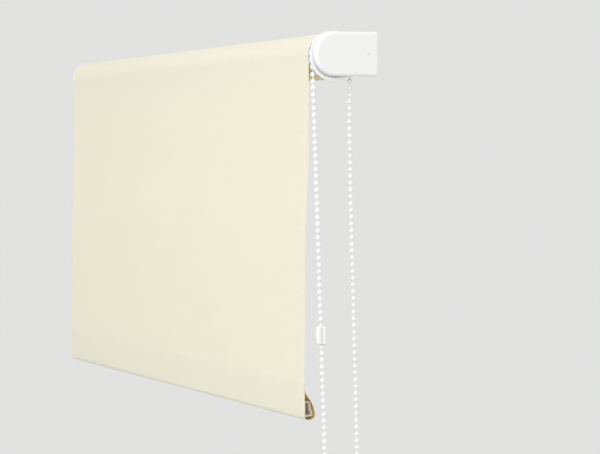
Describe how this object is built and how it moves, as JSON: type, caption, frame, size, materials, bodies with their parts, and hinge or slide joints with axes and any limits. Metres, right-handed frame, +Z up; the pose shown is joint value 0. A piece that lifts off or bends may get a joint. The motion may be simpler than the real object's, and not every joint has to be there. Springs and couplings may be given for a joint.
{
  "type": "roller blind",
  "caption": "Wall-fixed roller blind: cream fabric on a tube between two end covers, raised and lowered by a looped bead chain, with a hollow bar in the hem.",
  "frame": {"origin": "on the wall plane, at mid width, at the height of the tube axis", "axes": "+X along the width toward the chain side, +Y into the wall, +Z up"},
  "size_m": [0.9, 0.0644, 0.4959],
  "materials": {
    "white_plastic": "moulded white acetal, light sheen",
    "grey_plastic": "moulded pale grey nylon, matt",
    "chain_plastic": "white moulded beads on a polyester thread",
    "cream_fabric": "plain woven polyester, cream, light-filtering",
    "zinc_steel": "zinc-plated pressed steel",
    "bright_steel": "plated steel",
    "spring_steel": "drawn spring wire",
    "aluminium": "extruded, mill finish"
  },
  "bodies": {
    "wall_mount": {"drive_bracket": "zinc_steel", "drive_cover": "white_plastic", "clutch_body": "grey_plastic", "chain_guard": "white_plastic", "clutch_screw": "bright_steel", "clutch_washer": "bright_steel", "chain_wrap": "chain_plastic", "chain_loop": "chain_plastic", "idle_bushing": "white_plastic", "idle_bracket": "zinc_steel", "idle_cover": "white_plastic", "fabric_panel": "cream_fabric"},
    "roller": {"drive_sprocket": "white_plastic", "wrap_spring_a": "spring_steel", "wrap_spring_b": "spring_steel", "drive_plug": "grey_plastic", "roller_tube": "aluminium", "fabric_roll": "cream_fabric", "idle_plug": "grey_plastic", "pin_spring": "spring_steel", "pin_retainer": "grey_plastic"},
    "idle_pin_body": {"idle_pin": "bright_steel"},
    "hem": {"fabric_hem": "cream_fabric", "bottom_bar": "aluminium"},
    "chain_clip": {"clip_front_half": "white_plastic", "clip_rear_half": "white_plastic"}
  },
  "joints": [
    {"name": "roller_turn", "type": "hinge", "parent": "wall_mount", "child": "roller", "pos_m": [0, -0.04, 0], "axis": [-1, 0, 0], "range_deg": [-625.26, 682.11]},
    {"name": "hem_travel", "type": "slide", "parent": "wall_mount", "child": "hem", "axis": [0, 0, 1], "range_m": [-0.22531, 0.24574], "deforming": ["fabric_panel"]},
    {"name": "clip_travel", "type": "slide", "parent": "wall_mount", "child": "chain_clip", "axis": [0, -0.0335, 0.9994], "range_m": [-0.1985, 0.2165]},
    {"name": "idle_pin_slide", "type": "slide", "parent": "roller", "child": "idle_pin_body", "axis": [1, 0, 0], "range_m": [0, 0.006], "stiffness_N_per_m": 400, "springref_m": -0.005, "deforming": ["pin_spring"]}
  ],
  "couplings": [
    {"joint": "hem_travel", "follows": "roller_turn", "m_per_rad": 0.0206},
    {"joint": "clip_travel", "follows": "roller_turn", "m_per_rad": 0.018144}
  ]
}
